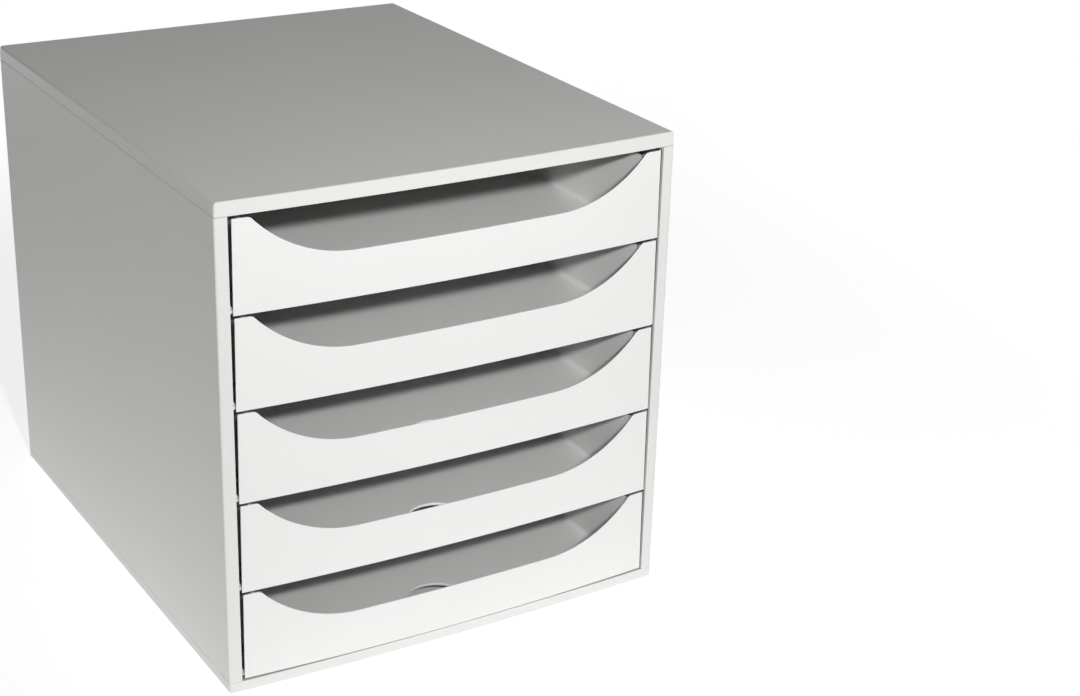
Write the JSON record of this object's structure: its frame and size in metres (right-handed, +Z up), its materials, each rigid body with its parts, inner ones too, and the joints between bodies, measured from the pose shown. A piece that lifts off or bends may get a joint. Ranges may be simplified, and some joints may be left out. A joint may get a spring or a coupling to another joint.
{
  "type": "desktop file drawer unit",
  "caption": "Box-shaped desktop casing with a stack of open sliding trays for paper, each with a wide scooped front and a thumb hole in its floor.",
  "frame": {"origin": "on the table, under the middle of the unit's footprint", "axes": "+X to the right seen from the front, +Y to the back, +Z up; the drawers pull out along -Y"},
  "size_m": [0.284, 0.35, 0.2907],
  "materials": {
    "casing_plastic": "light grey moulded polystyrene with a fine satin grain",
    "drawer_plastic": "light grey moulded polystyrene, satin, a little smoother than the casing",
    "foot_rubber": "matt grey non-slip rubber"
  },
  "bodies": {
    "casing": {"top_panel": "casing_plastic", "base_panel": "casing_plastic", "left_side_panel": "casing_plastic", "right_side_panel": "casing_plastic", "back_panel": "casing_plastic", "foot_front_left": "foot_rubber", "foot_front_right": "foot_rubber", "foot_rear_left": "foot_rubber", "foot_rear_right": "foot_rubber"},
    "top_drawer": {"drawer_1": "drawer_plastic"},
    "second_drawer": {"drawer_2": "drawer_plastic"},
    "middle_drawer": {"drawer_3": "drawer_plastic"},
    "fourth_drawer": {"drawer_4": "drawer_plastic"},
    "bottom_drawer": {"drawer_5": "drawer_plastic"}
  },
  "joints": [
    {"name": "top_drawer_slide", "type": "slide", "parent": "casing", "child": "top_drawer", "axis": [0, -1, 0], "range_m": [0, 0.262]},
    {"name": "second_drawer_slide", "type": "slide", "parent": "casing", "child": "second_drawer", "axis": [0, -1, 0], "range_m": [0, 0.262]},
    {"name": "middle_drawer_slide", "type": "slide", "parent": "casing", "child": "middle_drawer", "axis": [0, -1, 0], "range_m": [0, 0.262]},
    {"name": "fourth_drawer_slide", "type": "slide", "parent": "casing", "child": "fourth_drawer", "axis": [0, -1, 0], "range_m": [0, 0.262]},
    {"name": "bottom_drawer_slide", "type": "slide", "parent": "casing", "child": "bottom_drawer", "axis": [0, -1, 0], "range_m": [0, 0.262]}
  ]
}
